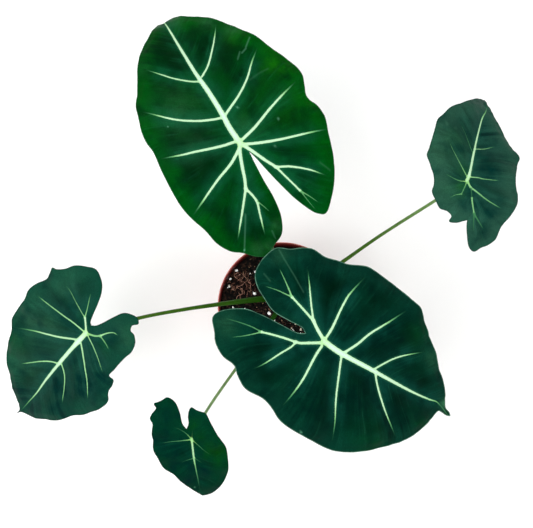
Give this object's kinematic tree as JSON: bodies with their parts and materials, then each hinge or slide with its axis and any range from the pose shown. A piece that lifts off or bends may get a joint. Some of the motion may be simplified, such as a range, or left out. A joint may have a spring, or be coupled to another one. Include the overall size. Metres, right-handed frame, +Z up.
{
  "type": "potted alocasia micholitziana",
  "caption": "Velvety arrow-shaped alocasia leaves with broad white veins on slender arching stalks, growing from potting mix in a thin terracotta-red nursery pot.",
  "frame": {"origin": "centre of the pot's underside, on the surface it stands on", "axes": "+Z up, +Y towards the largest rear leaf (the top of the picture), +X to the right of the picture"},
  "size_m": [0.4434, 0.4023, 0.3711],
  "materials": {
    "pot_plastic": "satin moulded plastic, terracotta red",
    "potting_mix": "moist peat and coir, very dark brown",
    "corm": "fibrous brown skin",
    "petiole": "smooth, semi-gloss green with faint bands",
    "blade": "velvety dark green with raised white-green veins",
    "cataphyll": "dry papery sheath",
    "perlite": "matt porous white",
    "bark": "rough brown"
  },
  "bodies": {
    "root": {"pot": "pot_plastic", "soil_mix": "potting_mix", "corm": "corm", "petiole_a": "petiole", "blade_a": "blade", "petiole_b": "petiole", "blade_b": "blade", "petiole_c": "petiole", "blade_c": "blade", "petiole_d": "petiole", "blade_d": "blade", "petiole_e": "petiole", "blade_e": "blade", "cataphyll_1": "cataphyll", "cataphyll_2": "cataphyll", "cataphyll_3": "cataphyll", "perlite_01": "perlite", "perlite_02": "perlite", "perlite_03": "perlite", "perlite_04": "perlite", "perlite_05": "perlite", "perlite_06": "perlite", "perlite_07": "perlite", "perlite_08": "perlite", "perlite_09": "perlite", "perlite_10": "perlite", "perlite_11": "perlite", "perlite_12": "perlite", "bark_chip_1": "bark", "bark_chip_2": "bark", "bark_chip_3": "bark", "bark_chip_4": "bark"}
  },
  "joints": []
}
